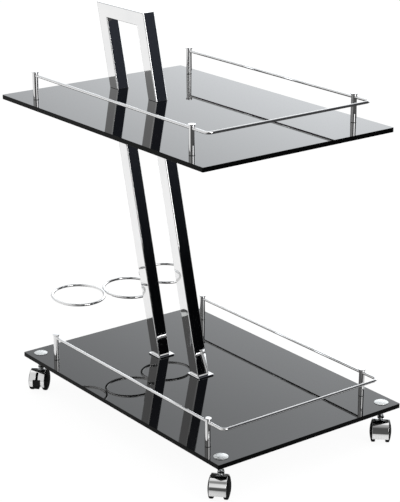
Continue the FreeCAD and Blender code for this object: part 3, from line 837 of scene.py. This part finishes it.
# brake pedals: curved tread with grip ribs and a toe lip, on an arm from the axle
pedalLook = {"inner": 22.7, "outer": 26.1, "width": 13.0, "low": -19.0, "high": 18.0, "steps": 14,
             "rounding": 0.6, "roundSteps": 3, "lip": 2.0, "lipAngle": 7.0, "lipSteps": 4,
             "ribs": 4, "rib": 0.5, "ribSink": 0.4, "ribWidth": 10.0, "ribStart": 3.0, "ribAngle": 2.4,
             "ribPitch": 5.5, "ribSteps": 3, "ribRounding": 0.225,
             "armWidth": 3.6, "armHeight": 4.0, "armSink": 1.0, "armAngle": 5.0, "armRounding": 0.3,
             "hub": 7.0, "bore": 3.05, "hubSteps": 40}


def makePedal(node, look):
    inner, outer, low = look["inner"], look["outer"], look["low"]
    bm = curvedBlock(inner, outer, look["width"], low, look["high"], look["steps"])
    roundEdges(bm, look["rounding"], look["roundSteps"])
    lipEnd = low + look["lipAngle"]
    lip = curvedBlock(inner, outer + look["lip"], look["width"], low, lipEnd, look["lipSteps"])
    roundEdges(lip, look["rounding"], look["roundSteps"])
    addTo(bm, lip)
    for count in range(look["ribs"]):
        start = lipEnd + look["ribStart"] + count * look["ribPitch"]
        rib = curvedBlock(outer - look["ribSink"], outer + look["rib"], look["ribWidth"],
                          start, start + look["ribAngle"], look["ribSteps"])
        roundEdges(rib, look["ribRounding"])
        addTo(bm, rib)
    half, rise = look["armWidth"] / 2, look["armHeight"] / 2
    arm = block((0, -half, -rise), (inner + look["armSink"], half, rise))
    roundEdges(arm, look["armRounding"])
    addTo(bm, arm, Matrix.Rotation(math.radians(look["armAngle"]), 4, (0, -1, 0)))
    hub = turned([(look["bore"], -half), (look["hub"], -half), (look["hub"], half), (look["bore"], half),
                  (look["bore"], -half)], look["hubSteps"])
    addTo(bm, hub, Matrix.Rotation(math.radians(90), 4, "X"))
    bmesh.ops.transform(bm, matrix=castorPlace(joints[node + "_lift"], -1), verts=bm.verts)
    finishPiece(pieceName(node), bm, node, "castor_plastic", [node])


for corner in ("rear_left", "rear_right"):
    makePedal(corner + "_brake_pedal", pedalLook)
print("brake pedals made")


# weld beads where the bottle rings meet each other
weldLook = {"bead": 1.5, "pitch": 1.5, "count": 3, "lift": 1.3, "subdivisions": 3}


def ringCentre(side):
    low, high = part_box("bottle_ring_" + side)
    return (low + high) / 2


def makeRingWelds(look):
    bm = bmesh.new()
    middle = ringCentre("middle")
    for side in ("left", "right"):
        meeting = (ringCentre(side) + middle) / 2
        across = Vector((0, 0, 1)).cross(ringCentre(side) - middle).normalized()
        for count in range(look["count"]):
            step = (count - (look["count"] - 1) / 2) * look["pitch"] * mm
            for way in (-1, 1):
                place = meeting + across * step + Vector((0, 0, way * look["lift"] * mm))
                bmesh.ops.create_icosphere(bm, subdivisions=look["subdivisions"], radius=look["bead"] * mm,
                                           matrix=Matrix.Translation(place))
    finishPiece("ringWelds", bm, "trolley_frame", "chrome")


# a small fillet round each upright's foot
filletLook = {"rise": 1.1, "tube": 25.0, "lean": 14.0, "corner": 3.1, "cornerSteps": 3}


def makeFootFillets(look):
    bm = bmesh.new()
    lean, rise = math.radians(look["lean"]), look["rise"] * mm
    top = Vector((look["tube"] / math.cos(lean), look["tube"])) * mm
    base = top + Vector((2, 2)) * rise
    for end in ("front", "rear"):
        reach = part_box(end + "_upright")[1].x
        centre = Vector((reach - top.x / 2, 0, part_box(end + "_base_plate")[1].z))
        foot = bmesh.new()
        bmesh.ops.create_grid(foot, x_segments=1, y_segments=1, size=0.5)
        bmesh.ops.scale(foot, vec=(base.x, base.y, 1), verts=foot.verts)
        bmesh.ops.bevel(foot, geom=foot.verts[:], offset=look["corner"] * mm, segments=look["cornerSteps"],
                        profile=0.5, affect="VERTICES", material=-1)
        upper = thicken(foot)
        bmesh.ops.scale(foot, vec=(top.x / base.x, top.y / base.y, 1), verts=upper)
        bmesh.ops.translate(foot, vec=(-math.tan(lean) * rise, 0, rise), verts=upper)
        bmesh.ops.recalc_face_normals(foot, faces=foot.faces)
        addTo(bm, foot, Matrix.Translation(centre))
    finishPiece("footFillets", bm, "trolley_frame", "chrome")


makeRingWelds(weldLook)
makeFootFillets(filletLook)
print("welds made")
